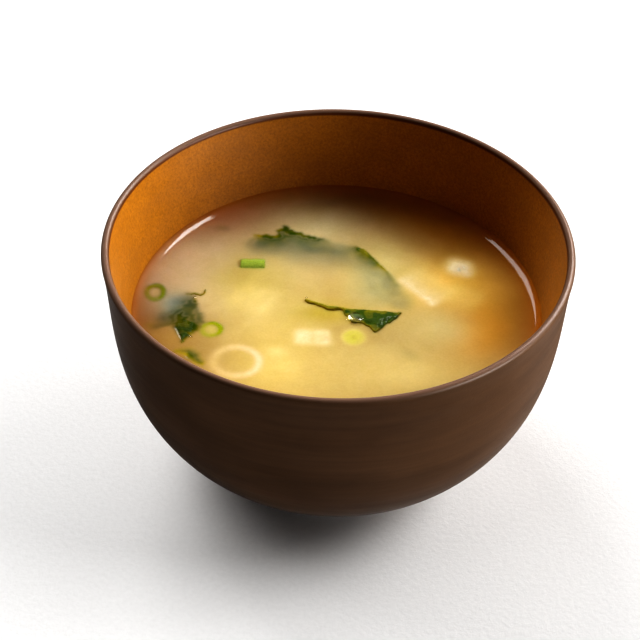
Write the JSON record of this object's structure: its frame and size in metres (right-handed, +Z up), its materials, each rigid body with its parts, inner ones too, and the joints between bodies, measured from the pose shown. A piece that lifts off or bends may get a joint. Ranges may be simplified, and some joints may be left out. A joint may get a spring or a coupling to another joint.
{
  "type": "miso soup",
  "caption": "Deep round lacquered soup bowl on a low foot, holding cloudy miso broth with floating seaweed leaves, sliced scallion and leek rings, and tofu blocks.",
  "frame": {"origin": "centre of the underside of the bowl's foot ring, on the surface it stands on", "axes": "+Z up along the bowl's turning axis; +Y away from the person who eats; +X to their right; the seaweed ribbon lies towards +Y"},
  "size_m": [0.116, 0.116, 0.067],
  "materials": {
    "lacquer": "satin brown lacquer outside, translucent amber lacquer inside",
    "broth": "wet, cloudy",
    "wakame": "wet",
    "scallion": "moist",
    "pale_stem": "moist",
    "tofu": "moist"
  },
  "bodies": {
    "root": {"bowl": "lacquer", "broth": "broth", "wakame_ribbon": "wakame", "wakame_flap": "wakame", "wakame_clump": "wakame", "wakame_scrap": "wakame", "scallion_ring_rim": "scallion", "scallion_ring_leaning": "scallion", "scallion_tube": "scallion", "scallion_pale": "pale_stem", "leek_ring": "pale_stem", "tofu_front": "tofu", "tofu_edge": "tofu", "tofu_right": "tofu"}
  },
  "joints": []
}
